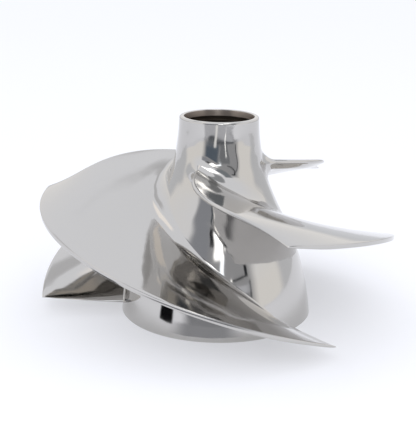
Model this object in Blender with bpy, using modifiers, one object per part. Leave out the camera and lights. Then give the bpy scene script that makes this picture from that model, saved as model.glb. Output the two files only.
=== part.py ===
"""Personal watercraft impeller: a hollow hub and three swept blades, cast as one piece.

Metres, +Z up towards the small front end of the hub. The origin is the centre of the wide
rear face, which the impeller stands on. Angles run anticlockwise seen from above.
"""
import math

import bmesh
import bpy
from mathutils import Vector

MM = 0.001

# Outside of the hub: a vase curve from the wide rear face up to the small front rim.
HUB_HEIGHT = 87.8 * MM
RIM_RADIUS = 17.2 * MM
RIM_ROUND = 0.9 * MM
BASE_RADIUS = 42.2 * MM
BASE_CHAMFER = 0.6 * MM
BASE_HANDLE = (37.0 * MM, 45.8 * MM)
RIM_HANDLE = (18.5 * MM, 46.8 * MM)
HUB_STEPS = 14
TURN_STEPS = 60

# Inside of the hub, from the front rim down.
MOUTH_RADIUS = 15.2 * MM
MOUTH_DEPTH = 2.8 * MM
LIP_BEVEL = 0.27 * MM
GROOVE_RADIUS = 16.0 * MM
GROOVE_HEIGHT = 1.9 * MM
SOCKET_RADIUS = 14.4 * MM
SOCKET_FLOOR = 61.0 * MM
SOCKET_CONE = 1.2 * MM
SHAFT_RADIUS = 10.5 * MM
BOSS_RADIUS = 15.5 * MM
BOSS_FOOT = 14.0 * MM
WALL = 5.2 * MM
WALL_GROWTH = 1.3 * MM
HOLLOW_TOP = 46.0 * MM
ROOF_ROUND = 2.6 * MM
HOLLOW_STEPS = 6

# Upper surface of the first blade. Each boundary is a cubic curve through four handles.
# Root and tip lines hold (angle in degrees, height), edges hold (radius, angle, height).
BLADE_COUNT = 3
TIP_RADIUS = 77.5 * MM
ROOT_LINE = ((126.0, 68.6 * MM), (135.8, 66.6 * MM), (254.6, 44.8 * MM), (311.5, 5.0 * MM))
TIP_LINE = ((170.0, 52.4 * MM), (214.8, 46.7 * MM), (231.8, 41.5 * MM), (308.5, 7.8 * MM))
LEADING_RADII = (66.6 * MM, 57.2 * MM)
LEADING_ANGLES = (144.8, 164.7)
LEADING_HEIGHTS = (66.2 * MM, 59.1 * MM)

# The middle of the blade lies lower than the even surface between its boundaries, most so
# towards its leading edge. CUP_PEAK makes the shares' product 1 in the middle.
CUP_DEPTH = -1.5 * MM
CUP_GROWTH = 2.2 * MM
CUP_PEAK = 16

# Thickness of the blade, and the fillet where it grows out of the hub.
ROOT_THICKNESS = 3.4 * MM
TIP_THICKNESS = 2.0 * MM
EDGE_THINNING = 0.6
EDGE_TAPER = 0.12
EDGE_ROUND = 0.02
FILLET_RADIUS = 6.0 * MM
FILLET_LEAST = 0.6 * MM
FILLET_FADE = 0.5
FILLET_CURVE = 1.4
ROOT_DEPTH = 1.6 * MM
ROOT_SPREAD = 0.75
CHORD_STEPS = 24
CHORD_CROWDING = 0.5
EDGE_STEPS = 2
FILLET_STEPS = 3
SPAN_STEPS = 7

# Share of a line's length over which its direction is measured.
NUDGE = 0.01


def cubic(handles, t):
    """Point on a cubic curve whose handles are tuples of numbers."""
    weights = ((1 - t) ** 3, 3 * t * (1 - t) ** 2, 3 * t * t * (1 - t), t ** 3)
    return tuple(sum(w * value for w, value in zip(weights, column)) for column in zip(*handles))


def hub_curve(t):
    """Radius and height on the hub's outside, from the rear face (0) to the rim (1)."""
    top = (RIM_RADIUS, HUB_HEIGHT - RIM_ROUND)
    return cubic(((BASE_RADIUS, 0.0), BASE_HANDLE, RIM_HANDLE, top), t)


def hub_radius(height):
    """Radius of the hub's outside at a height, by halving the curve's parameter."""
    low, high = 0.0, 1.0
    for _ in range(30):
        middle = (low + high) / 2
        if hub_curve(middle)[1] < height:
            low = middle
        else:
            high = middle
    return hub_curve(low)[0]


def hub_profile():
    """Closed outline of the hub's wall, down its outside and back up through the bore."""
    top = HUB_HEIGHT
    outline = [(RIM_RADIUS - RIM_ROUND, top), (RIM_RADIUS - LIP_BEVEL, top - LIP_BEVEL)]
    for i in range(HUB_STEPS, -1, -1):
        radius, height = hub_curve(i / HUB_STEPS)
        if height > 2 * BASE_CHAMFER:
            outline.append((radius, height))
    outline.append((hub_radius(BASE_CHAMFER), BASE_CHAMFER))
    outline.append((BASE_RADIUS - BASE_CHAMFER, 0.0))
    outline.append((BASE_RADIUS - WALL, 0.0))
    outline += hollow_wall()
    outline.append((BOSS_RADIUS, BOSS_FOOT))
    outline.append((SHAFT_RADIUS, BOSS_FOOT))
    outline.append((SHAFT_RADIUS, SOCKET_FLOOR))
    outline.append((SOCKET_RADIUS, SOCKET_FLOOR + SOCKET_CONE))
    groove_top = top - MOUTH_DEPTH
    groove_foot = groove_top - GROOVE_HEIGHT
    outline.append((SOCKET_RADIUS, groove_foot))
    outline.append((GROOVE_RADIUS, groove_foot))
    outline.append((GROOVE_RADIUS, groove_top))
    outline.append((MOUTH_RADIUS, groove_top))
    outline.append((MOUTH_RADIUS, top - LIP_BEVEL))
    outline.append((MOUTH_RADIUS + LIP_BEVEL, top))
    return outline


def hollow_wall():
    """The rear hollow: up inside the wall, then round its roof to the shaft boss."""
    wall = []
    for i in range(1, HOLLOW_STEPS + 1):
        share = i / HOLLOW_STEPS
        height = (HOLLOW_TOP - 4 * ROOF_ROUND) * share
        wall.append((hub_radius(height) - WALL - WALL_GROWTH * share, height))
    outer = wall[-1][0]
    wall.append((outer - ROOF_ROUND, HOLLOW_TOP - ROOF_ROUND))
    wall.append((BOSS_RADIUS + ROOF_ROUND, HOLLOW_TOP))
    wall.append((BOSS_RADIUS, HOLLOW_TOP - ROOF_ROUND))
    return wall


def root_line(s):
    """Radius, angle and height of the blade's root, on the hub."""
    angle, height = cubic(ROOT_LINE, s)
    return hub_radius(height), angle, height


def tip_line(s):
    """Radius, angle and height of the blade's tip, on the cylinder that it sweeps."""
    angle, height = cubic(TIP_LINE, s)
    return TIP_RADIUS, angle, height


def leading_edge(t):
    """Radius, angle and height along the leading edge, from the hub (0) to the tip (1)."""
    middle = zip(LEADING_RADII, LEADING_ANGLES, LEADING_HEIGHTS)
    return cubic((root_line(0), *middle, tip_line(0)), t)


def trailing_edge(t):
    """Radius, angle and height along the trailing edge, straight from the hub to the tip."""
    return tuple(a + (b - a) * t for a, b in zip(root_line(1), tip_line(1)))


def blade_point(s, t):
    """Upper surface between its four boundary lines: s along the chord, t out to the tip."""
    lead, trail, root, tip = leading_edge(t), trailing_edge(t), root_line(s), tip_line(s)
    corners = (*zip(root_line(0), root_line(1), tip_line(0), tip_line(1)),)
    place = []
    for i in range(3):
        edges = (1 - s) * lead[i] + s * trail[i] + (1 - t) * root[i] + t * tip[i]
        root_lead, root_trail, tip_lead, tip_trail = corners[i]
        inner = (1 - t) * ((1 - s) * root_lead + s * root_trail)
        outer = t * ((1 - s) * tip_lead + s * tip_trail)
        place.append(edges - inner - outer)
    radius, angle, height = place
    return turned(radius, math.radians(angle), height + cup(s, t))


def cup(s, t):
    """How far the blade lies above (or, below 0, under) the even surface."""
    return (CUP_DEPTH + CUP_GROWTH * (2 * s - 1)) * CUP_PEAK * s * (1 - s) * t * (1 - t)


def turned(radius, turn, height):
    return Vector((radius * math.cos(turn), radius * math.sin(turn), height))


def blade_normal(s, t):
    """Unit normal of the upper surface, pointing up."""
    along = blade_point(min(s + NUDGE, 1), t) - blade_point(max(s - NUDGE, 0), t)
    out = blade_point(s, min(t + NUDGE, 1)) - blade_point(s, max(t - NUDGE, 0))
    normal = out.cross(along).normalized()
    return normal if normal.z > 0 else -normal


def thickness(s, t):
    """Thickness of the blade: thinner outwards, and towards its leading and trailing edges."""
    body = ROOT_THICKNESS + (TIP_THICKNESS - ROOT_THICKNESS) * t
    edge = min(1.0, min(s, 1 - s) / EDGE_TAPER)
    return body * (EDGE_THINNING + (1 - EDGE_THINNING) * edge)


def fillet_radius(s):
    """The fillet shrinks towards the trailing edge, which ends close to the rear face."""
    fade = min(1.0, (1 - s) / FILLET_FADE) ** FILLET_CURVE
    return FILLET_LEAST + (FILLET_RADIUS - FILLET_LEAST) * fade


def hub_offset(s, forward, upward):
    """Point on the hub at a distance from the root line, measured on the hub's surface."""
    radius, angle, height = root_line(s)
    low, high = root_line(max(s - NUDGE, 0)), root_line(min(s + NUDGE, 1))
    around = radius * math.radians(high[1] - low[1])
    slope = math.atan2(high[0] - low[0], low[2] - high[2])
    down = math.hypot(high[0] - low[0], low[2] - high[2])
    length = math.hypot(around, down)
    around, down = around / length, down / length
    sideways = -forward * around + upward * down
    rise = forward * down + upward * around
    new_height = max(height + rise * math.cos(slope), BASE_CHAMFER)
    return turned(hub_radius(new_height), math.radians(angle) + sideways / radius, new_height)


def section():
    """Outline of a blade section as (chord share, half thickness share, side angle)."""
    quarter = math.pi / 2
    nose = [i * quarter / EDGE_STEPS for i in range(EDGE_STEPS)]
    upper = [(EDGE_ROUND * (1 - math.cos(a)), math.sin(a), a) for a in nose]
    for i in range(CHORD_STEPS + 1):
        even = i / CHORD_STEPS
        crowded = (1 - math.cos(math.pi * even)) / 2
        share = even + (crowded - even) * CHORD_CROWDING
        upper.append((EDGE_ROUND + (1 - 2 * EDGE_ROUND) * share, 1.0, quarter))
    upper += [(1 - s, half, math.pi - a) for s, half, a in reversed(upper[:EDGE_STEPS])]
    lower = [(s, -half, -a) for s, half, a in reversed(upper[1:-1])]
    return upper + lower


def blade_vertex(place, height, offset, depth, t):
    """Point of a blade: on its section, spread over the hub by the fillet's offset."""
    s, half, side = place
    reach = (blade_point(s, NUDGE) - blade_point(s, 0.0)).length / NUDGE
    start = fillet_radius(s) / reach
    share = height * start if t is None else start + (1 - start) * t
    thick = thickness(s, share)
    foot = hub_offset(s, 0.0, 0.0)
    sunk = blade_normal(s, share) * (half - 1) * thick / 2
    on_hub = hub_offset(s, 0.0, (half - 1) * thick / 2) - foot
    mix = min(1.0, share / start)
    point = blade_point(s, share) + sunk * mix + on_hub * (1 - mix)
    spread = offset * fillet_radius(s)
    point += hub_offset(s, spread * math.cos(side), spread * math.sin(side)) - foot
    if depth:
        point += Vector((-foot.x, -foot.y, 0)).normalized() * depth
    return point


def blade_rows():
    """Rows from inside the hub's wall, out through the fillet, to the tip."""
    rows = [(0.0, ROOT_SPREAD, ROOT_DEPTH, None)]
    for i in range(1, FILLET_STEPS + 1):
        turn = math.pi / 2 * (1 - i / FILLET_STEPS)
        rows.append((1 - math.sin(turn), 1 - math.cos(turn), 0.0, None))
    rows += [(1.0, 0.0, 0.0, i / SPAN_STEPS) for i in range(1, SPAN_STEPS + 1)]
    return rows


def make_material(name, color, roughness, metallic):
    material = bpy.data.materials.new(name)
    material.use_nodes = True
    shader = material.node_tree.nodes["Principled BSDF"]
    shader.inputs["Base Color"].default_value = (*color, 1.0)
    shader.inputs["Roughness"].default_value = roughness
    shader.inputs["Metallic"].default_value = metallic
    return material


def make_collection(name):
    collection = bpy.data.collections.new(name)
    bpy.context.scene.collection.children.link(collection)
    return collection


def make_hub(collection, material):
    """The turned hub: its wall's outline swept round the axis."""
    mesh = bpy.data.meshes.new("impeller_casting")
    shape = bmesh.new()
    ring = [shape.verts.new((radius, 0, height)) for radius, height in hub_profile()]
    for first, second in zip(ring, ring[1:] + ring[:1]):
        shape.edges.new((first, second))
    shape.to_mesh(mesh)
    shape.free()
    mesh.materials.append(material)
    hub = bpy.data.objects.new("impeller_casting", mesh)
    collection.objects.link(hub)
    screw = hub.modifiers.new("turned", "SCREW")
    screw.steps = TURN_STEPS
    screw.render_steps = TURN_STEPS
    screw.use_merge_vertices = True
    screw.merge_threshold = 0.00001
    screw.use_smooth_shade = True
    return hub


def make_blade(index, collection, material):
    """One blade: closed sections lofted from the hub's wall out to the tip."""
    name = f"blade_{index + 1}"
    places = section()
    count = len(places)
    shape = bmesh.new()
    rings = []
    for height, offset, depth, t in blade_rows():
        points = [blade_vertex(place, height, offset, depth, t) for place in places]
        rings.append([shape.verts.new(point) for point in points])
    for inner, outer in zip(rings, rings[1:]):
        for i in range(count):
            j = (i + 1) % count
            shape.faces.new((inner[i], inner[j], outer[j], outer[i]))
    for ring in (rings[0], rings[-1]):
        close_ring(shape, ring)
    bmesh.ops.recalc_face_normals(shape, faces=shape.faces)
    mesh = bpy.data.meshes.new(name)
    shape.to_mesh(mesh)
    shape.free()
    mesh.materials.append(material)
    blade = bpy.data.objects.new(name, mesh)
    collection.objects.link(blade)
    blade.rotation_euler.z = math.tau * index / BLADE_COUNT
    blade.hide_render = True
    blade.display_type = "WIRE"
    return blade


def close_ring(shape, ring):
    """Closes a section's outline by faces between its upper and lower points."""
    last = len(ring) // 2
    for i in range(last):
        face = [ring[i], ring[i + 1], ring[-i - 1], ring[-i]]
        corners = list(dict.fromkeys(face))
        if len(corners) > 2:
            shape.faces.new(corners)


def join_blades(hub, blades):
    """Casts the hub and its blades as one solid."""
    for blade in blades:
        union = hub.modifiers.new(f"cast_{blade.name}", "BOOLEAN")
        union.operation = "UNION"
        union.solver = "EXACT"
        union.object = blade


def clear_scene():
    for item in list(bpy.data.objects):
        bpy.data.objects.remove(item, do_unlink=True)


def main():
    clear_scene()
    steel = make_material("polished_cast_stainless", (0.62, 0.60, 0.58), 0.08, 1.0)
    parts = make_collection("personal_watercraft_impeller")
    guides = make_collection("cutters_and_guides")
    hub = make_hub(parts, steel)
    blades = [make_blade(i, guides, steel) for i in range(BLADE_COUNT)]
    join_blades(hub, blades)


main()
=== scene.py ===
"""Looks of the personal watercraft impeller: one polished casting on a pale studio floor.

Metres, +Z up towards the small front rim of the hub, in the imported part's frame. Angles run
anticlockwise seen from above. The photograph is taken from -Y.
"""
import math

import bmesh
import bpy
import numpy as np
from mathutils import Matrix, Vector, geometry


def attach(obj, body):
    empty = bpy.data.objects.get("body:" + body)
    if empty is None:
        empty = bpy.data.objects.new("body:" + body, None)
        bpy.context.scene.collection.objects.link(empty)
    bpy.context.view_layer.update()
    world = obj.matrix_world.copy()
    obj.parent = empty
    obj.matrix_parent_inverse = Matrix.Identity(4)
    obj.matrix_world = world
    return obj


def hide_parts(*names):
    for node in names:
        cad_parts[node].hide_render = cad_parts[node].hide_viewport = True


bl_info = {
    "name": "Watercraft Impeller",
    "version": (1, 0, 0),
    "blender": (4, 5, 0),
    "location": "View3D > Sidebar > Impeller",
    "description": "Builds a polished three-blade impeller casting and its studio",
    "category": "Object",
}

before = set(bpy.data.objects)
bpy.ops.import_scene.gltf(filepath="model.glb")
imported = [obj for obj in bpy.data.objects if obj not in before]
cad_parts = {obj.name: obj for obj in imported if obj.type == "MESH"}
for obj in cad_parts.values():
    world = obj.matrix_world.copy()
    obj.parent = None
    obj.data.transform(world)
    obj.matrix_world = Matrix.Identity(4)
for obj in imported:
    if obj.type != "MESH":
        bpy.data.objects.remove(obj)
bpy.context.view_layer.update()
MM = 0.001

# Hub, as cast: a vase curve from the rear face up to the front rim. Its handles hold (radius,
# height).
BASE_CHAMFER = 0.6 * MM
BASE_HANDLE = (37.0 * MM, 45.8 * MM)
RIM_HANDLE = (18.5 * MM, 46.8 * MM)
BLADE_COUNT = 3
SECTOR = math.tau / BLADE_COUNT
CURVE_POINTS = 4001
SLOPE_STEP = 0.05 * MM

# Inside of the hub, from the front rim down.
RIM_ROUND = 0.9 * MM
LIP_BEVEL = 0.27 * MM
MOUTH_RADIUS = 15.2 * MM
MOUTH_DEPTH = 2.8 * MM
GROOVE_RADIUS = 16.0 * MM
GROOVE_HEIGHT = 1.9 * MM
SOCKET_RADIUS = 14.4 * MM
SOCKET_FLOOR = 61.0 * MM
SOCKET_CONE = 1.2 * MM
SHAFT_RADIUS = 10.5 * MM
BOSS_RADIUS = 15.5 * MM
BOSS_FOOT = 14.0 * MM
WALL = 5.2 * MM
WALL_GROWTH = 1.3 * MM
HOLLOW_TOP = 46.0 * MM
ROOF_ROUND = 2.6 * MM
ROOF_SLANT = 4 * ROOF_ROUND
HOLLOW_STEPS = 6
RIM_STEPS = 8
LIP_STEPS = 5
ROOF_STEPS = 5

# The border between two sectors lies this many degrees behind a blade's root, for shares of it.
# Both ends are on the hub's rings of points, 5/3 of a degree apart.
BORDER_SHARES = (0.0, 0.3, 1.0)
BORDER_SHIFTS = (157 / 3, 48.0, 58.5)
BORDER_STEPS = 160
PLANE_RADIUS = 30 * MM

# Camera, from the hub's circles in the photograph: degrees of yaw, pitch and roll.
CAMERA_PLACE = (0, -444.0 * MM, 169.0 * MM)
CAMERA_TURNS = (-0.53, 16.03, 0.97)
FOCAL_PIXELS = 1044.3
PHOTO_HEIGHT = 438
CLIP_START = 10 * MM

# Floor, the softboxes' places and widths, and the steepness, as height over distance from the eye,
# between which the tent's wall turns into its ceiling.
FLOOR_SIDES = 96
SOFTBOXES = {
    "top_softbox": ((0.0, -0.2, 1.1), 1.2),
    "front_softbox": ((0.1, -0.95, 0.65), 0.8),
}
CEILING_RISE = (0.15, 0.65)

# Cloths and lamps round the impeller, as the polished steel mirrors them: azimuths in degrees to
# the right of the camera's side, heights, distance from the shaft, colour, brightness, and the
# shares of their width and height over which they fade out.
SCREEN_STEPS = 24
SCREENS = {
    "tent_opening": ((-50, 57), (-0.1, 0.95), 1.0, "b0b1b5", 1.0, (0.14, 0.1)),
    "left_wall": ((-185, -86), (-0.15, 0.36), 1.2, "e3e5ea", 1.0, (0.14, 0.3)),
    "right_wall": ((86, 185), (-0.15, 0.36), 1.2, "e3e5ea", 1.0, (0.14, 0.3)),
    "rear_cloth": ((-165, -92), (0.5, 0.82), 0.5, "dddee2", 1.0, (0.2, 0.3)),
    "rear_lamp": ((-150, -50), (0.95, 2.4), 0.5, "fffaf6", 1.4, (0.2, 0.15)),
    "neck_post": ((43.5, 46.5), (0.09, 0.25), 0.95, "4a4d53", 1.0, (0.3, 0.05)),
    "grey_cloth": ((-50, -6), (0.26, 0.56), 0.63, "a3a6ae", 1.0, (0.3, 0.1)),
    "dark_cloth": ((-40, 6), (0.068, 0.18), 0.62, "66717e", 1.0, (0.2, 0.2)),
    "mid_cloth": ((4, 26), (0.068, 0.18), 0.62, "888b90", 1.0, (0.1, 0.15)),
    "bright_strip": ((-7, 12), (0.31, 0.56), 0.62, "ffffff", 3.2, (0.3, 0.12)),
    "low_lamp": ((4, 11), (0.145, 0.36), 0.62, "f2f8ff", 2.4, (0.3, 0.1)),
    "thin_strip": ((12.5, 15), (0.36, 0.52), 0.62, "ffffff", 2.2, (0.3, 0.2)),
    "black_edge": ((-13.5, -5), (0.40, 0.515), 0.61, "14161b", 1.0, (0.25, 0.15)),
    "dark_post": ((38, 43), (0.185, 0.30), 0.6, "24272c", 1.0, (0.2, 0.05)),
    "dark_rail": ((20, 43), (0.185, 0.20), 0.6, "24272c", 1.0, (0.05, 0.2)),
    "over_cloth": ((20, 56), (0.35, 0.62), 0.52, "8f959c", 1.0, (0.1, 0.1)),
    "side_cloth": ((50, 130), (0.72, 1.15), 0.5, "a9acb1", 1.0, (0.1, 0.15)),
    "over_lamp": ((12, 46), (0.60, 1.35), 0.5, "ffffff", 4.2, (0.25, 0.2)),
    "front_cloth": ((-30, 44), (0.0, 0.085), 0.5, "4a4e55", 1.0, (0.1, 0.2)),
    "table_cloth": ((-34, 14), (-0.004, 0.034), 0.26, "4a4d55", 1.0, (0.2, 0.1)),
    "front_bar": ((-44, 46), (0.047, 0.073), 0.25, "d2d4db", 1.0, (0.12, 0.15)),
    "bar_light": ((-11, -3), (0.040, 0.085), 0.245, "ffffff", 1.15, (0.4, 0.1)),
    "thin_lamp": ((17, 20), (0.056, 0.092), 0.24, "ffffff", 2.0, (0.3, 0.1)),
    "table_glint": ((-26, -10), (0.0, 0.045), 0.24, "ffffff", 3.5, (0.3, 0.2)),
    "table_shade": ((-36, 18), (-0.004, 0.013), 0.11, "999ba1", 1.0, (0.25, 0.2)),
    "foot_shade": ((-38, 24), (-0.003, 0.007), 0.056, "a6a8ae", 1.0, (0.3, 0.2)),
    "black_block": ((-57, -41), (-0.002, 0.02), 0.1, "0c0c0e", 1.0, (0.12, 0.1)),
}

# First blade's boundaries: root and tip lines hold (angle in degrees, height), the leading
# edge's middle handles hold (radius, angle in degrees, height).
ROOT_LINE = ((126.0, 68.6 * MM), (135.8, 66.6 * MM), (254.6, 44.8 * MM), (311.5, 5.0 * MM))
TIP_LINE = ((170.0, 52.4 * MM), (214.8, 46.7 * MM), (231.8, 41.5 * MM), (308.5, 7.8 * MM))
LEADING_HANDLES = ((66.6 * MM, 144.8, 66.2 * MM), (57.2 * MM, 164.7, 59.1 * MM))

# How far the blade's middle stands off the patch between its boundaries: at mid chord, and what
# each half chord further back adds. The last value brings s (1 - s) t (1 - t) to 1 at its peak.
CUP_DEPTH = -1.5 * MM
CUP_GROWTH = 2.2 * MM
CUP_PEAK = 16

# The blade's edges, and the fillet at its root.
EDGE_THINNING = 0.6
EDGE_TAPER = 0.12
EDGE_ROUND = 0.02
FILLET_LEAST = 0.6 * MM
FILLET_FADE = 0.5
FILLET_CURVE = 1.4

# How finely the casting is drawn.
RING_STEPS = 72
HUB_ROW = 1.0 * MM
CLEAR_OF_BORDER = 0.6 * HUB_ROW
CLEAR_OF_FOOT = 0.45 * HUB_ROW
CHORD_STEPS = 110
NOSE_TURNS = (0, 15, 30, 45, 60, 75, 84)
NOSE_RATIO = 0.2
FILLET_STEPS = 12
SPAN_STEPS = 36
TIP_STEPS = 3
NUDGE = 0.004
SAME_POINT = 1e-6
WELD_DISTANCE = 0.01 * MM
SHARP_ANGLE = 35
ON_HUB_GAP = 0.002 * MM

# Sizes of the steel's patterns, and where the buffed waves grow weaker going out from the shaft.
BUFFED_WAVE = 13 * MM
WAVY_RADIUS = 18 * MM
EVEN_RADIUS = 42 * MM
EVEN_SHARE = 0.16
WHEEL_MARK = 2.5 * MM
WHEEL_MARK_DEPTH = 0.01 * MM
ROUGHNESS_SPAN = (0.7, 1.4)
TOOL_RING = 0.6 * MM
TOOL_RING_DEPTH = 0.02 * MM
TOOL_RING_STRETCH = 50
BORED_PATCH = 1.5 * MM
CAST_GRAIN = 0.8 * MM
CAST_GRAIN_DEPTH = 0.1 * MM

# Zones of the casting's faces, which take their finish from them.
HUB, BLADE, TURNED, BORE, SOCKET, HOLLOW = range(6)


def linear(code):
    """Linear colour of an sRGB hex value such as "c8c4c0"."""
    shares = [int(code[i:i + 2], 16) / 255 for i in (0, 2, 4)]
    return tuple(c / 12.92 if c <= 0.04045 else ((c + 0.055) / 1.055) ** 2.4 for c in shares)


class ImpellerSizes(bpy.types.PropertyGroup):
    """Sizes of the casting."""
    height: bpy.props.FloatProperty(
        name="Hub height", description="Length of the hub along its shaft",
        default=87.8 * MM, unit="LENGTH")
    rim_radius: bpy.props.FloatProperty(
        name="Rim radius", description="Outer radius of the front rim",
        default=17.2 * MM, unit="LENGTH")
    base_radius: bpy.props.FloatProperty(
        name="Base radius", description="Outer radius of the rear face",
        default=42.2 * MM, unit="LENGTH")
    tip_radius: bpy.props.FloatProperty(
        name="Tip radius", description="Radius that the blade tips sweep",
        default=77.42 * MM, unit="LENGTH")
    root_thickness: bpy.props.FloatProperty(
        name="Root thickness", description="Blade thickness at the hub",
        default=3.4 * MM, unit="LENGTH")
    tip_thickness: bpy.props.FloatProperty(
        name="Tip thickness", description="Blade thickness at its tip",
        default=2.0 * MM, unit="LENGTH")
    fillet: bpy.props.FloatProperty(
        name="Fillet radius", description="Fillet between blade and hub",
        default=6.3 * MM, unit="LENGTH")
    tip_round: bpy.props.FloatProperty(
        name="Tip rounding", description="Rounding of the tip's two edges",
        default=0.3 * MM, unit="LENGTH")


class ImpellerFinish(bpy.types.PropertyGroup):
    """Finish of the casting."""
    steel: bpy.props.FloatVectorProperty(
        name="Steel", description="Colour that the bare steel reflects",
        default=linear("c2c0bd"), subtype="COLOR", size=3, min=0, max=1)
    roughness: bpy.props.FloatProperty(
        name="Roughness", description="Roughness of the buffed surface",
        default=0.07, min=0, max=1, subtype="FACTOR")
    waviness: bpy.props.FloatProperty(
        name="Waviness", description="Height of the waves that hand buffing leaves",
        default=0.8 * MM, unit="LENGTH")


class ImpellerStudio(bpy.types.PropertyGroup):
    """Floor, lamps and tent."""
    floor_color: bpy.props.FloatVectorProperty(
        name="Floor", description="Colour of the floor under the impeller",
        default=linear("bcbdc1"), subtype="COLOR", size=3, min=0, max=1)
    floor_radius: bpy.props.FloatProperty(
        name="Floor radius", description="How far the floor reaches",
        default=3.0, unit="LENGTH")
    floor_glow: bpy.props.FloatProperty(
        name="Floor glow", description="Light that comes up through the floor",
        default=0.46, min=0)
    top_power: bpy.props.FloatProperty(
        name="Top softbox", description="Power of the lamp over the impeller",
        default=1.0, min=0, unit="POWER")
    front_power: bpy.props.FloatProperty(
        name="Front softbox", description="Power of the lamp in front of the impeller",
        default=4.0, min=0, unit="POWER")
    tent_strength: bpy.props.FloatProperty(
        name="Tent brightness", description="Brightness of the tent's walls",
        default=1.12, min=0)
    tent_color: bpy.props.FloatVectorProperty(
        name="Tent", description="Colour of the light from the tent's walls",
        default=linear("fbf9f7"), subtype="COLOR", size=3, min=0, max=1)
    ceiling_color: bpy.props.FloatVectorProperty(
        name="Ceiling", description="Colour of the light from the tent's ceiling",
        default=linear("f7f9ff"), subtype="COLOR", size=3, min=0, max=1)


def cubic(handles, share):
    """Points on a cubic curve through four handles, one row for each share of it."""
    t = np.asarray(share, float)[..., None]
    first, second, third, last = np.asarray(handles, float)
    middle = 3 * second * t * (1 - t) ** 2 + 3 * third * t * t * (1 - t)
    return first * (1 - t) ** 3 + middle + last * t ** 3


def turned(radius, turn, height):
    """Points at a radius, an angle in radians and a height."""
    return np.stack((radius * np.cos(turn), radius * np.sin(turn), height), -1)


def unit(vectors):
    """Vectors of the same direction and of length 1."""
    return vectors / np.linalg.norm(vectors, axis=-1, keepdims=True)


class Hub:
    """The hub's outside, and the way along it."""

    def __init__(self, sizes):
        self.top = sizes.height - RIM_ROUND
        self.curve = cubic(
            ((sizes.base_radius, 0), BASE_HANDLE, RIM_HANDLE, (sizes.rim_radius, self.top)),
            np.linspace(0, 1, CURVE_POINTS))

    def radius(self, height):
        """Outer radius at a height."""
        return np.interp(height, self.curve[:, 1], self.curve[:, 0])

    def slope(self, height):
        """Change of radius for a change of height."""
        wider = self.radius(height + SLOPE_STEP) - self.radius(height - SLOPE_STEP)
        return wider / (2 * SLOPE_STEP)

    def normal(self, points):
        """Outward unit normals of the hub's outside at points on it."""
        outward = unit(points[:, :2])
        return unit(np.column_stack((outward, -self.slope(points[:, 2]))))

    def place(self, angle_height):
        """Points from columns of angle in radians and height."""
        return turned(self.radius(angle_height[:, 1]), angle_height[:, 0], angle_height[:, 1])


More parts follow.
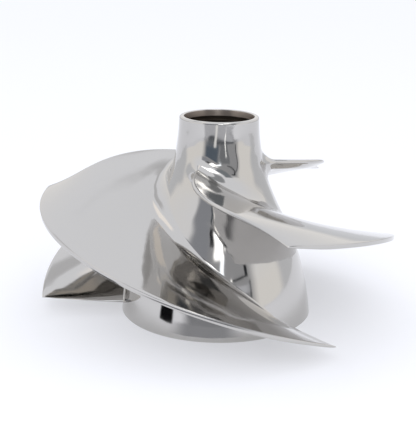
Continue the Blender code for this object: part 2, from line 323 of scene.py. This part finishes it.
class Blade:
    """The first blade: a Coons patch between its four boundary lines, and its thickness."""

    def __init__(self, sizes, hub):
        self.sizes = sizes
        self.hub = hub

    def root(self, s):
        """Radius, angle in degrees and height on the root line."""
        line = cubic(ROOT_LINE, s)
        return np.stack((self.hub.radius(line[..., 1]), line[..., 0], line[..., 1]), -1)

    def tip(self, s):
        """Radius, angle in degrees and height on the tip line."""
        line = cubic(TIP_LINE, s)
        radius = np.full_like(line[..., 0], self.sizes.tip_radius)
        return np.stack((radius, line[..., 0], line[..., 1]), -1)

    def point(self, s, t):
        """Upper surface: s along the chord, t out to the tip."""
        s, t = np.broadcast_arrays(np.asarray(s, float), np.asarray(t, float))
        ends = [self.root(0.0), self.root(1.0), self.tip(0.0), self.tip(1.0)]
        lead = cubic((ends[0], *LEADING_HANDLES, ends[2]), t)
        a, b = s[..., None], t[..., None]
        trail = ends[1] * (1 - b) + ends[3] * b
        edges = (1 - a) * lead + a * trail + (1 - b) * self.root(s) + b * self.tip(s)
        inner = (1 - b) * ((1 - a) * ends[0] + a * ends[1])
        outer = b * ((1 - a) * ends[2] + a * ends[3])
        place = edges - inner - outer
        cup = (CUP_DEPTH + CUP_GROWTH * (2 * s - 1)) * CUP_PEAK * s * (1 - s) * t * (1 - t)
        return turned(place[..., 0], np.radians(place[..., 1]), place[..., 2] + cup)

    def normal(self, s, t):
        """Unit normals of the upper surface, pointing up."""
        along = self.point(np.minimum(s + NUDGE, 1), t) - self.point(np.maximum(s - NUDGE, 0), t)
        out = self.point(s, np.minimum(t + NUDGE, 1)) - self.point(s, np.maximum(t - NUDGE, 0))
        normal = unit(np.cross(out, along))
        return normal * np.sign(normal[..., 2:])

    def thickness(self, s, t):
        """Thinner outwards, and towards the leading and trailing edges."""
        root, tip = self.sizes.root_thickness, self.sizes.tip_thickness
        edge = np.clip(np.minimum(s, 1 - s) / EDGE_TAPER, 0, 1)
        edge = edge * edge * (3 - 2 * edge)
        return (root + (tip - root) * t) * (EDGE_THINNING + (1 - EDGE_THINNING) * edge)

    def fillet(self, s):
        """Fillet radius, which shrinks towards the trailing edge close to the rear face."""
        fade = np.clip((1 - s) / FILLET_FADE, 0, 1) ** FILLET_CURVE
        return FILLET_LEAST + (self.sizes.fillet - FILLET_LEAST) * fade

    def footprint(self, s, forward, upward):
        """Angle and height on the hub at a distance from the root line, along the hub."""
        here = self.root(s)
        low, high = self.root(np.maximum(s - NUDGE, 0)), self.root(np.minimum(s + NUDGE, 1))
        around = here[:, 0] * np.radians(high[:, 1] - low[:, 1])
        slope = np.arctan2(high[:, 0] - low[:, 0], low[:, 2] - high[:, 2])
        down = np.hypot(high[:, 0] - low[:, 0], low[:, 2] - high[:, 2])
        length = np.hypot(around, down)
        around, down = around / length, down / length
        sideways = -forward * around + upward * down
        rise = forward * down + upward * around
        height = np.maximum(here[:, 2] + rise * np.cos(slope), 2 * BASE_CHAMFER)
        return np.column_stack((np.radians(here[:, 1]) + sideways / here[:, 0], height))

    def section(self):
        """Outline of a blade's section: chord share, share of half its thickness, side angle."""
        turns = np.arctan(NOSE_RATIO * np.tan(np.radians(NOSE_TURNS)))
        nose = np.column_stack((EDGE_ROUND * (1 - np.cos(turns)), np.sin(turns), turns))
        even = np.linspace(0, 1, CHORD_STEPS + 1)
        crowded = (1 - np.cos(math.pi * even)) / 2
        chord = EDGE_ROUND + (1 - 2 * EDGE_ROUND) * (even + crowded) / 2
        upper = np.column_stack((chord, np.ones_like(chord), np.full_like(chord, math.pi / 2)))
        tail = np.column_stack((1 - nose[::-1, 0], nose[::-1, 1], math.pi - nose[::-1, 2]))
        top = np.concatenate((nose, upper, tail))
        bottom = top[-2:0:-1] * (1, -1, -1)
        return np.concatenate((top, bottom))

    def ring(self, section, rise, spread, share, inset):
        """One closed ring of the blade's skin, from the hub (rise 0) out to the tip (share 1)."""
        s, half, side = section.T
        zero = np.zeros_like(s)
        reach = np.linalg.norm(self.point(s, zero + NUDGE) - self.point(s, zero), axis=1) / NUDGE
        start = self.fillet(s) / reach
        t = rise * start if share is None else start + (1 - start) * share
        mix = np.minimum(1, t / start)[:, None]
        thick = self.thickness(s, t)
        foot_thick = self.thickness(s, zero)
        half_in = half * (1 - 2 * inset / thick)
        sunk = self.normal(s, t) * ((half_in - 1) * thick / 2)[:, None]
        at_root = self.hub.place(self.footprint(s, zero, zero))
        sunk_foot = (half - 1) * foot_thick / 2
        beside = self.footprint(s, zero, sunk_foot)
        out = spread * self.fillet(s)
        spread_foot = self.footprint(s, out * np.cos(side), sunk_foot + out * np.sin(side))
        foot = self.hub.place(spread_foot)
        lift = self.point(s, t) - self.point(s, zero)
        lean = sunk - (self.hub.place(beside) - at_root)
        return foot + lift + lean * mix, spread_foot

    def rings(self):
        """All rings from the hub to the tip, and the first one's angles and heights."""
        section = self.section()
        rows = []
        for i in range(FILLET_STEPS + 1):
            turn = math.pi / 2 * (1 - i / FILLET_STEPS)
            rows.append((1 - math.sin(turn), 1 - math.cos(turn), None, 0.0))
        span = self.sizes.tip_radius - self.sizes.base_radius
        edge = self.sizes.tip_round
        last = 1 - edge / span
        rows += [(1, 0, last * i / SPAN_STEPS, 0.0) for i in range(1, SPAN_STEPS + 1)]
        for i in range(1, TIP_STEPS + 1):
            turn = math.pi / 2 * i / TIP_STEPS
            rows.append((1, 0, last + (1 - last) * math.sin(turn), edge * (1 - math.cos(turn))))
        made = [self.ring(section, *row) for row in rows]
        return [ring for ring, foot in made], made[0][1]


def inside(points, outline):
    """Which points lie inside a closed outline, by counting the edges to their right."""
    x, y = points[:, :1], points[:, 1:]
    a, b = outline, np.roll(outline, -1, 0)
    crosses = (a[:, 1] > y) != (b[:, 1] > y)
    rise = np.where(b[:, 1] == a[:, 1], 1, b[:, 1] - a[:, 1])
    where = a[:, 0] + (y - a[:, 1]) / rise * (b[:, 0] - a[:, 0])
    return (crosses & (x < where)).sum(1) % 2 == 1


def nearest(points, outline):
    """Distance of each point from the corners of an outline."""
    gaps = [np.linalg.norm(outline - p, axis=1).min() for p in points]
    return np.array(gaps)


def border(hub, blade):
    """Angle and height down the middle of the passage behind the first blade."""
    s = np.linspace(0, 1, BORDER_STEPS)
    root = blade.root(s)
    shift = np.interp(s, BORDER_SHARES, BORDER_SHIFTS)
    path = np.column_stack((np.radians(root[:, 1] + shift), root[:, 2]))
    above = np.arange(hub.top, path[0, 1], -HUB_ROW)
    below = np.arange(BASE_CHAMFER, path[-1, 1], HUB_ROW)[::-1]
    lead = np.column_stack((np.full_like(above, path[0, 0]), above))
    trail = np.column_stack((np.full_like(below, path[-1, 0]), below))
    return np.concatenate((lead, path, trail))


def hub_sheet(hub, blade, foot):
    """A third of the hub's outside round the blade's foot: angles, heights and triangles."""
    right = border(hub, blade)[::-1]
    left = right - (SECTOR, 0)
    step = SECTOR / RING_STEPS
    along = np.arange(1, RING_STEPS) * step
    level = np.ones(RING_STEPS - 1)
    low = np.column_stack((along + left[0, 0], level * right[0, 1]))
    high = np.column_stack((along + left[-1, 0], level * right[-1, 1]))
    outline = np.concatenate((left[:1], low, right, high[::-1], left[:0:-1]))
    flat = np.array((PLANE_RADIUS, 1.0))
    rows = np.arange(BASE_CHAMFER + HUB_ROW, hub.top - HUB_ROW / 2, HUB_ROW)
    columns = np.arange(left[:, 0].min(), right[:, 0].max(), step)
    grid = np.stack(np.meshgrid(columns, rows), -1).reshape(-1, 2)
    grid[:, 0] += step / 2 * (np.round(grid[:, 1] / HUB_ROW) % 2)
    grid = grid[inside(grid * flat, outline * flat) & ~inside(grid * flat, foot * flat)]
    grid = grid[nearest(grid * flat, outline * flat) > CLEAR_OF_BORDER]
    grid = grid[nearest(grid * flat, foot * flat) > CLEAR_OF_FOOT]
    places = np.concatenate((foot, outline, grid))
    count, around = len(foot), len(outline)
    edges = [(i, (i + 1) % count) for i in range(count)]
    edges += [(count + i, count + (i + 1) % around) for i in range(around)]
    scaled = places * flat / MM
    corners = [Vector(place) for place in scaled]
    points, _, faces, found, _, _ = geometry.delaunay_2d_cdt(corners, edges, [], 0, SAME_POINT)
    if len(points) != len(places):
        raise RuntimeError("the blade's foot crosses itself or the border")
    order = np.array([ids[0] for ids in found])
    triangles = order[np.array(faces)]
    centres = scaled[triangles].mean(1)
    kept = inside(centres, outline * flat / MM) & ~inside(centres, foot * flat / MM)
    return places, triangles[kept]


def arc(centre, radius, start, end, steps):
    """Profile points on an arc, its angles in degrees from the radial direction."""
    turns = np.radians(np.linspace(start, end, steps + 1))
    return [(centre[0] + radius * math.cos(a), centre[1] + radius * math.sin(a)) for a in turns]


def inner_profile(hub, sizes):
    """Profile from the top of the hub's outside, over the rim, through the bore, to its foot."""
    top, lip = sizes.height, LIP_BEVEL
    groove_top = top - MOUTH_DEPTH
    groove_foot = groove_top - GROOVE_HEIGHT
    rim = arc((sizes.rim_radius - RIM_ROUND, hub.top), RIM_ROUND, 0, 90, RIM_STEPS)
    rim += arc((MOUTH_RADIUS + lip, top - lip), lip, 90, 180, LIP_STEPS)
    bore = [(MOUTH_RADIUS, groove_top)]
    socket = [(GROOVE_RADIUS, groove_top), (GROOVE_RADIUS, groove_foot)]
    socket += [(SOCKET_RADIUS, groove_foot), (SOCKET_RADIUS, SOCKET_FLOOR + SOCKET_CONE)]
    socket += [(SHAFT_RADIUS, SOCKET_FLOOR), (SHAFT_RADIUS, BOSS_FOOT), (BOSS_RADIUS, BOSS_FOOT)]
    hollow = [(BOSS_RADIUS, HOLLOW_TOP - ROOF_ROUND)]
    corner = (BOSS_RADIUS + ROOF_ROUND, HOLLOW_TOP - ROOF_ROUND)
    hollow += arc(corner, ROOF_ROUND, 180, 90, ROOF_STEPS)[1:]
    wall = []
    for i in range(HOLLOW_STEPS + 1):
        share = i / HOLLOW_STEPS
        height = (HOLLOW_TOP - ROOF_SLANT) * share
        wall.append((float(hub.radius(height)) - WALL - WALL_GROWTH * share, height))
    hollow += [(wall[-1][0] - ROOF_ROUND, HOLLOW_TOP - ROOF_ROUND)] + wall[::-1]
    foot = [(sizes.base_radius - BASE_CHAMFER, 0.0)]
    foot += [(float(hub.radius(BASE_CHAMFER)), BASE_CHAMFER)]
    return ((rim, TURNED), (bore, BORE), (socket, SOCKET), (hollow, HOLLOW), (foot, TURNED))


def inner_skin(hub, sizes, first_angle):
    """A third of the turned inside: points, and quads with their zones."""
    step = SECTOR / RING_STEPS
    angles = first_angle + np.arange(RING_STEPS + 1) * step
    profile = [(float(hub.radius(hub.top)), hub.top)]
    zones = []
    for points, zone in inner_profile(hub, sizes):
        profile += points
        zones += [zone] * len(points)
    level = np.ones_like(angles)
    rings = [turned(level * radius, angles, level * height) for radius, height in profile]
    width = RING_STEPS + 1
    faces = []
    kinds = []
    for row, zone in enumerate(zones):
        for i in range(RING_STEPS):
            a = row * width + i
            faces.append((a, a + 1, a + 1 + width, a + width))
            kinds.append(zone)
    return np.concatenate(rings), faces, kinds


def sector_mesh(sizes):
    """A third of the casting: one blade, the hub's outside round its foot, and the inside."""
    hub = Hub(sizes)
    blade = Blade(sizes, hub)
    rings, foot = blade.rings()
    places, triangles = hub_sheet(hub, blade, foot)
    count = len(foot)
    points = [hub.place(places)]
    faces = [tuple(triangle) for triangle in triangles]
    zones = [HUB] * len(faces)
    previous = np.arange(count)
    start = len(places)
    for ring in rings[1:]:
        current = start + np.arange(count)
        for i in range(count):
            j = (i + 1) % count
            faces.append((previous[i], previous[j], current[j], current[i]))
        points.append(ring)
        previous = current
        start += count
    half = count // 2
    for i in range(half):
        corners = (previous[i], previous[i + 1], previous[-i - 1], previous[-i])
        faces.append(tuple(dict.fromkeys(corners)))
    zones += [BLADE] * (len(faces) - len(zones))
    top_angle = math.radians(ROOT_LINE[0][0] + BORDER_SHIFTS[0])
    skin, quads, kinds = inner_skin(hub, sizes, top_angle)
    faces += [tuple(start + i for i in quad) for quad in quads]
    zones += kinds
    points.append(skin)
    mesh = bpy.data.meshes.new("impeller_sector")
    faces = [tuple(int(corner) for corner in face) for face in faces]
    mesh.from_pydata(np.concatenate(points).tolist(), [], faces)
    zone = mesh.attributes.new("zone", "INT", "FACE")
    zone.data.foreach_set("value", zones)
    return mesh, hub


def add(tree, kind, settings=None, inputs=None):
    """Adds a node with its settings, and its inputs as values or as links from sockets."""
    node = tree.nodes.new(kind)
    for name, value in (settings or {}).items():
        setattr(node, name, value)
    for key, value in (inputs or {}).items():
        if isinstance(value, bpy.types.NodeSocket):
            tree.links.new(value, node.inputs[key])
        else:
            node.inputs[key].default_value = value
    return node


def copies_tree(materials):
    """Geometry Nodes that set copies of a sector round the shaft and weld them.

    Each material goes to the zones from its own number on, so a later one takes over.
    """
    tree = bpy.data.node_groups.new("copies_round_the_shaft", "GeometryNodeTree")
    face = tree.interface
    face.new_socket("Geometry", in_out="INPUT", socket_type="NodeSocketGeometry")
    face.new_socket("Copies", in_out="INPUT", socket_type="NodeSocketInt")
    face.new_socket("Turn", in_out="INPUT", socket_type="NodeSocketFloat")
    face.new_socket("Weld Distance", in_out="INPUT", socket_type="NodeSocketFloat")
    face.new_socket("Geometry", in_out="OUTPUT", socket_type="NodeSocketGeometry")
    given = add(tree, "NodeGroupInput")
    points = add(tree, "GeometryNodePoints", inputs={"Count": given.outputs["Copies"]})
    index = add(tree, "GeometryNodeInputIndex")
    turn = add(tree, "ShaderNodeMath", {"operation": "MULTIPLY"}, {
        0: index.outputs[0], 1: given.outputs["Turn"]})
    rotation = add(tree, "ShaderNodeCombineXYZ", inputs={"Z": turn.outputs[0]})
    copies = add(tree, "GeometryNodeInstanceOnPoints", inputs={
        "Points": points.outputs[0], "Instance": given.outputs["Geometry"],
        "Rotation": rotation.outputs[0]})
    real = add(tree, "GeometryNodeRealizeInstances", inputs={"Geometry": copies.outputs[0]})
    welded = add(tree, "GeometryNodeMergeByDistance", inputs={
        "Geometry": real.outputs[0], "Distance": given.outputs["Weld Distance"]})
    zone = add(tree, "GeometryNodeInputNamedAttribute", {"data_type": "INT"}, {"Name": "zone"})
    last = welded
    for number, material in materials:
        chosen = add(tree, "FunctionNodeCompare", {
            "data_type": "INT", "operation": "GREATER_EQUAL"}, {
            2: zone.outputs["Attribute"], 3: number})
        last = add(tree, "GeometryNodeSetMaterial", inputs={
            "Geometry": last.outputs[0], "Selection": chosen.outputs[0], "Material": material})
    add(tree, "NodeGroupOutput", inputs={"Geometry": last.outputs[0]})
    return tree


def welded_casting(sector, tree):
    """The whole casting as a plain mesh object."""
    holder = bpy.data.objects.new("sector_holder", sector)
    bpy.context.scene.collection.objects.link(holder)
    copies = holder.modifiers.new("copies", "NODES")
    copies.node_group = tree
    values = {"Copies": BLADE_COUNT, "Turn": SECTOR, "Weld Distance": WELD_DISTANCE}
    for item in tree.interface.items_tree:
        if item.in_out == "INPUT" and item.name in values:
            copies[item.identifier] = values[item.name]
    graph = bpy.context.evaluated_depsgraph_get()
    mesh = bpy.data.meshes.new_from_object(holder.evaluated_get(graph))
    bpy.data.objects.remove(holder)
    mesh.name = "polished_casting"
    casting = bpy.data.objects.new("polished_casting", mesh)
    bpy.context.scene.collection.objects.link(casting)
    return casting


def outward(mesh):
    """Turns every face of a closed mesh outwards."""
    shape = bmesh.new()
    shape.from_mesh(mesh)
    bmesh.ops.recalc_face_normals(shape, faces=shape.faces)
    open_edges = sum(not edge.is_manifold for edge in shape.edges)
    shape.to_mesh(mesh)
    shape.free()
    if open_edges:
        raise RuntimeError(f"the casting has {open_edges} open edges")


def true_normals(mesh, hub):
    """Smooth shading with the hub's own normals, so reflections run evenly over its triangles."""
    mesh.shade_smooth()
    mesh.set_sharp_from_angle(angle=math.radians(SHARP_ANGLE))
    total = len(mesh.loops)
    normals = np.empty(total * 3)
    mesh.corner_normals.foreach_get("vector", normals)
    normals = normals.reshape(-1, 3)
    corners = np.empty(total, int)
    mesh.loops.foreach_get("vertex_index", corners)
    points = np.empty(len(mesh.vertices) * 3)
    mesh.vertices.foreach_get("co", points)
    places = points.reshape(-1, 3)[corners]
    zones = np.empty(len(mesh.polygons), int)
    mesh.attributes["zone"].data.foreach_get("value", zones)
    sides = np.empty(len(mesh.polygons), int)
    mesh.polygons.foreach_get("loop_total", sides)
    zone = np.repeat(zones, sides)
    gap = np.abs(np.hypot(places[:, 0], places[:, 1]) - hub.radius(places[:, 2]))
    on_hub = (zone <= BLADE) & (gap < ON_HUB_GAP)
    normals[on_hub] = hub.normal(places[on_hub])
    mesh.normals_split_custom_set(normals.tolist())


def new_material(name):
    """A material with nodes, its tree and its shader."""
    material = bpy.data.materials.new(name)
    material.use_nodes = True
    tree = material.node_tree
    return material, tree, tree.nodes["Principled BSDF"]


def polished_steel(finish):
    """Cast stainless steel, ground and buffed to a mirror.

    The eye sees the room in it. Hand buffing leaves the surface gently wavy, most on the narrow
    neck, so reflections have soft wavy borders, and it leaves faint, fine wheel marks.
    """
    material, tree, shader = new_material("buffed_cast_stainless")
    place = add(tree, "ShaderNodeTexCoord").outputs["Object"]
    flat = add(tree, "ShaderNodeVectorMath", {"operation": "MULTIPLY"}, {0: place, 1: (1, 1, 0)})
    radius = add(tree, "ShaderNodeVectorMath", {"operation": "LENGTH"}, {0: flat.outputs[0]})
    waviness = add(tree, "ShaderNodeMapRange", {"interpolation_type": "SMOOTHSTEP"}, {
        "Value": radius.outputs["Value"], "From Min": WAVY_RADIUS, "From Max": EVEN_RADIUS,
        "To Min": finish.waviness, "To Max": EVEN_SHARE * finish.waviness})
    broad = add(tree, "ShaderNodeTexNoise", inputs={
        "Vector": place, "Scale": 1 / BUFFED_WAVE, "Detail": 1.0, "Roughness": 0.4})
    waves = add(tree, "ShaderNodeBump", inputs={
        "Height": broad.outputs["Fac"], "Strength": 1.0, "Distance": waviness.outputs[0]})
    fine = add(tree, "ShaderNodeTexNoise", inputs={
        "Vector": place, "Scale": 1 / WHEEL_MARK, "Detail": 4.0, "Roughness": 0.6})
    marks = add(tree, "ShaderNodeBump", inputs={
        "Height": fine.outputs["Fac"], "Strength": 0.25, "Distance": WHEEL_MARK_DEPTH,
        "Normal": waves.outputs[0]})
    rough = add(tree, "ShaderNodeMapRange", inputs={
        "Value": fine.outputs["Fac"], "To Min": finish.roughness * ROUGHNESS_SPAN[0],
        "To Max": finish.roughness * ROUGHNESS_SPAN[1]})
    tree.links.new(rough.outputs[0], shader.inputs["Roughness"])
    tree.links.new(marks.outputs[0], shader.inputs["Normal"])
    shader.inputs["Base Color"].default_value = (*finish.steel, 1)
    shader.inputs["Metallic"].default_value = 1.0
    return material


def machined_steel():
    """The same steel, turned on a lathe.

    Fine tool rings stretch each reflection along the shaft and warm it, as in a bore.
    """
    material, tree, shader = new_material("turned_stainless")
    place = add(tree, "ShaderNodeTexCoord").outputs["Object"]
    rings = add(tree, "ShaderNodeMapping", inputs={
        "Vector": place, "Scale": (1 / TOOL_RING_STRETCH, 1 / TOOL_RING_STRETCH, 1.0)})
    noise = add(tree, "ShaderNodeTexNoise", inputs={
        "Vector": rings.outputs[0], "Scale": 1 / TOOL_RING, "Detail": 3.0})
    bump = add(tree, "ShaderNodeBump", inputs={
        "Height": noise.outputs["Fac"], "Strength": 0.5, "Distance": TOOL_RING_DEPTH})
    rough = add(tree, "ShaderNodeMapRange", inputs={
        "Value": noise.outputs["Fac"], "To Min": 0.3, "To Max": 0.42})
    outwards = add(tree, "ShaderNodeVectorMath", {"operation": "MULTIPLY_ADD"}, {
        0: place, 1: (1, 1, 0), 2: (0, 0, 0.05)})
    tree.links.new(rough.outputs[0], shader.inputs["Roughness"])
    tree.links.new(bump.outputs[0], shader.inputs["Normal"])
    tree.links.new(outwards.outputs[0], shader.inputs["Tangent"])
    shader.inputs["Anisotropic"].default_value = 0.85
    shader.inputs["Base Color"].default_value = (*linear("b9ada3"), 1)
    shader.inputs["Metallic"].default_value = 1.0
    return material


def shaded_bore_steel():
    """The same steel in the groove and the socket, bored, its colour darkened as painted shade.

    The darker colour is painted shade for the deep hole: it gives the eye an almost black hole
    with a dull shine at its border.
    """
    material, tree, shader = new_material("bored_stainless_painted_shade")
    place = add(tree, "ShaderNodeTexCoord").outputs["Object"]
    noise = add(tree, "ShaderNodeTexNoise", inputs={
        "Vector": place, "Scale": 1 / BORED_PATCH, "Detail": 3.0})
    rough = add(tree, "ShaderNodeMapRange", inputs={
        "Value": noise.outputs["Fac"], "To Min": 0.28, "To Max": 0.4})
    tree.links.new(rough.outputs[0], shader.inputs["Roughness"])
    # Steel colour set far darker than the polished steel's: painted shade in the groove and
    # socket.
    shader.inputs["Base Color"].default_value = (*linear("625b53"), 1)
    shader.inputs["Metallic"].default_value = 1.0
    return material


def cast_steel():
    """The same steel as it left the mould and the blast cabinet: matt and finely grained."""
    material, tree, shader = new_material("blasted_cast_stainless")
    place = add(tree, "ShaderNodeTexCoord").outputs["Object"]
    noise = add(tree, "ShaderNodeTexNoise", inputs={
        "Vector": place, "Scale": 1 / CAST_GRAIN, "Detail": 5.0})
    bump = add(tree, "ShaderNodeBump", inputs={
        "Height": noise.outputs["Fac"], "Strength": 0.6, "Distance": CAST_GRAIN_DEPTH})
    rough = add(tree, "ShaderNodeMapRange", inputs={
        "Value": noise.outputs["Fac"], "To Min": 0.38, "To Max": 0.6})
    tree.links.new(rough.outputs[0], shader.inputs["Roughness"])
    tree.links.new(bump.outputs[0], shader.inputs["Normal"])
    shader.inputs["Base Color"].default_value = (*linear("a8a5a1"), 1)
    shader.inputs["Metallic"].default_value = 1.0
    return material


class IMPELLER_OT_casting(bpy.types.Operator):
    """Builds the casting from one sector set three times round the shaft"""
    bl_idname = "impeller.casting"
    bl_label = "Casting"

    def execute(self, context):
        materials = (
            (HUB, polished_steel(context.scene.impeller_finish)), (BORE, machined_steel()),
            (SOCKET, shaded_bore_steel()), (HOLLOW, cast_steel()))
        sector, hub = sector_mesh(context.scene.impeller_sizes)
        casting = welded_casting(sector, copies_tree(materials))
        outward(casting.data)
        true_normals(casting.data, hub)
        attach(casting, "root")
        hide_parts("impeller_casting")
        return {"FINISHED"}


def make_floor(setup):
    """Floor of opal acrylic with a ground top, lit a little from below: pale, with no sheen."""
    material, tree, shader = new_material("ground_opal_acrylic")
    shader.inputs["Base Color"].default_value = (*setup.floor_color, 1)
    shader.inputs["Specular IOR Level"].default_value = 0
    shader.inputs["Emission Color"].default_value = (*linear("f3f4f8"), 1)
    shader.inputs["Emission Strength"].default_value = setup.floor_glow
    shape = bmesh.new()
    bmesh.ops.create_circle(
        shape, cap_ends=True, radius=setup.floor_radius, segments=FLOOR_SIDES)
    mesh = bpy.data.meshes.new("studio_floor")
    shape.to_mesh(mesh)
    shape.free()
    mesh.materials.append(material)
    floor = bpy.data.objects.new("studio_floor", mesh)
    bpy.context.scene.collection.objects.link(floor)


def glowing(name, color, strength, softness):
    """A lit lamp or a cloth, of which only the brightness shows, fading out at its borders."""
    material = bpy.data.materials.new(name)
    material.use_nodes = True
    tree = material.node_tree
    tree.nodes.clear()
    place = add(tree, "ShaderNodeUVMap", {"uv_map": "UVMap"}).outputs[0]
    across = add(tree, "ShaderNodeSeparateXYZ", inputs={0: place})
    mask = None
    for axis, soft in zip("XY", softness):
        centred = add(tree, "ShaderNodeMath", {"operation": "PINGPONG"}, {
            0: across.outputs[axis], 1: 0.5})
        edge = add(tree, "ShaderNodeMapRange", {"interpolation_type": "SMOOTHSTEP"}, {
            "Value": centred.outputs[0], "From Max": soft})
        if mask is None:
            mask = edge
        else:
            mask = add(tree, "ShaderNodeMath", {"operation": "MULTIPLY"}, {
                0: mask.outputs[0], 1: edge.outputs[0]})
    light = add(tree, "ShaderNodeEmission", inputs={
        "Color": (*linear(color), 1), "Strength": strength})
    clear = add(tree, "ShaderNodeBsdfTransparent")
    mixed = add(tree, "ShaderNodeMixShader", inputs={
        0: mask.outputs[0], 1: clear.outputs[0], 2: light.outputs[0]})
    add(tree, "ShaderNodeOutputMaterial", inputs={"Surface": mixed.outputs[0]})
    return material


def make_screen(name, azimuths, heights, distance, color, strength, softness):
    """A curved panel round the impeller, which shows only where the steel mirrors it."""
    steps = SCREEN_STEPS
    shares = np.linspace(0, 1, steps + 1)
    turns = np.radians(azimuths[0] + (azimuths[1] - azimuths[0]) * shares - 90)
    level = np.ones_like(turns)
    rows = [turned(level * distance, turns, level * height) for height in heights]
    faces = [(i + 1, i, steps + 1 + i, steps + 2 + i) for i in range(steps)]
    mesh = bpy.data.meshes.new(name)
    mesh.from_pydata(np.concatenate(rows).tolist(), [], faces)
    layer = mesh.uv_layers.new(name="UVMap")
    for loop in mesh.loops:
        row, column = divmod(loop.vertex_index, steps + 1)
        layer.uv[loop.index].vector = (shares[column], row)
    mesh.materials.append(glowing(name, color, strength, softness))
    screen = bpy.data.objects.new(name, mesh)
    bpy.context.scene.collection.objects.link(screen)
    screen.visible_camera = False
    screen.visible_diffuse = False
    screen.visible_shadow = False


def make_world(setup):
    """Soft white light from all round, as in a light tent: cooler from the ceiling."""
    world = bpy.data.worlds.new("light_tent")
    world.use_nodes = True
    tree = world.node_tree
    way = add(tree, "ShaderNodeTexCoord").outputs["Generated"]
    rise = add(tree, "ShaderNodeSeparateXYZ", inputs={0: way}).outputs["Z"]
    share = add(tree, "ShaderNodeMapRange", inputs={
        "Value": rise, "From Min": CEILING_RISE[0], "From Max": CEILING_RISE[1]})
    color = add(tree, "ShaderNodeMix", {"data_type": "RGBA"}, {
        "Factor": share.outputs[0], 6: (*setup.tent_color, 1), 7: (*setup.ceiling_color, 1)})
    back = tree.nodes["Background"]
    back.inputs["Strength"].default_value = setup.tent_strength
    tree.links.new(color.outputs[2], back.inputs["Color"])
    bpy.context.scene.world = world


def make_softbox(name, place, power, width):
    """A large soft lamp aimed at the impeller, which lights the floor and isn't mirrored."""
    data = bpy.data.lights.new(name, "AREA")
    data.size = width
    data.energy = power
    lamp = bpy.data.objects.new(name, data)
    place = Vector(place)
    aim = place.to_track_quat("Z", "Y").to_matrix().to_4x4()
    lamp.matrix_world = Matrix.Translation(place) @ aim
    lamp.visible_glossy = False
    bpy.context.scene.collection.objects.link(lamp)


def make_camera():
    """Camera where the photograph was taken from, worked out from the hub's circles."""
    yaw, pitch, roll = (math.radians(a) for a in CAMERA_TURNS)
    reach = math.cos(pitch)
    forward = Vector((math.sin(yaw) * reach, math.cos(yaw) * reach, -math.sin(pitch)))
    level = Vector((math.cos(yaw), -math.sin(yaw), 0))
    upright = level.cross(forward)
    right = level * math.cos(roll) + upright * math.sin(roll)
    up = upright * math.cos(roll) - level * math.sin(roll)
    data = bpy.data.cameras.new("photo_camera")
    data.lens = data.sensor_width * FOCAL_PIXELS / PHOTO_HEIGHT
    data.clip_start = CLIP_START
    camera = bpy.data.objects.new("photo_camera", data)
    bpy.context.scene.collection.objects.link(camera)
    axes = Matrix((right, up, -forward)).transposed().to_4x4()
    camera.matrix_world = Matrix.Translation(CAMERA_PLACE) @ axes
    bpy.context.scene.camera = camera


class IMPELLER_OT_stage(bpy.types.Operator):
    """Builds the floor, the light and the camera"""
    bl_idname = "impeller.stage"
    bl_label = "Stage"

    def execute(self, context):
        setup = context.scene.impeller_studio
        make_floor(setup)
        make_world(setup)
        for (name, (place, width)), power in zip(
                SOFTBOXES.items(), (setup.top_power, setup.front_power)):
            make_softbox(name, place, power, width)
        for name, screen in SCREENS.items():
            make_screen(name, *screen)
        make_camera()
        context.scene.view_settings.view_transform = "Standard"
        return {"FINISHED"}


class IMPELLER_PT_panel(bpy.types.Panel):
    """Lists what can be built"""
    bl_idname = "IMPELLER_PT_panel"
    bl_label = "Impeller"
    bl_space_type = "VIEW_3D"
    bl_region_type = "UI"
    bl_category = "Impeller"

    def draw(self, context):
        for group_name in GROUPS:
            group = getattr(context.scene, group_name)
            for name in group.bl_rna.properties.keys():
                if name not in ("rna_type", "name"):
                    self.layout.prop(group, name)
        for operator in OPERATORS:
            self.layout.operator(operator.bl_idname)


OPERATORS = (IMPELLER_OT_casting, IMPELLER_OT_stage)
GROUPS = {
    "impeller_sizes": ImpellerSizes,
    "impeller_finish": ImpellerFinish,
    "impeller_studio": ImpellerStudio,
}
CLASSES = (*GROUPS.values(), *OPERATORS, IMPELLER_PT_panel)


def register():
    for made in CLASSES:
        bpy.utils.register_class(made)
    for name, group in GROUPS.items():
        setattr(bpy.types.Scene, name, bpy.props.PointerProperty(type=group))


def unregister():
    for name in GROUPS:
        delattr(bpy.types.Scene, name)
    for made in reversed(CLASSES):
        bpy.utils.unregister_class(made)


def main():
    register()
    bpy.ops.impeller.casting()
    bpy.ops.impeller.stage()


if __name__ == "__main__":
    main()
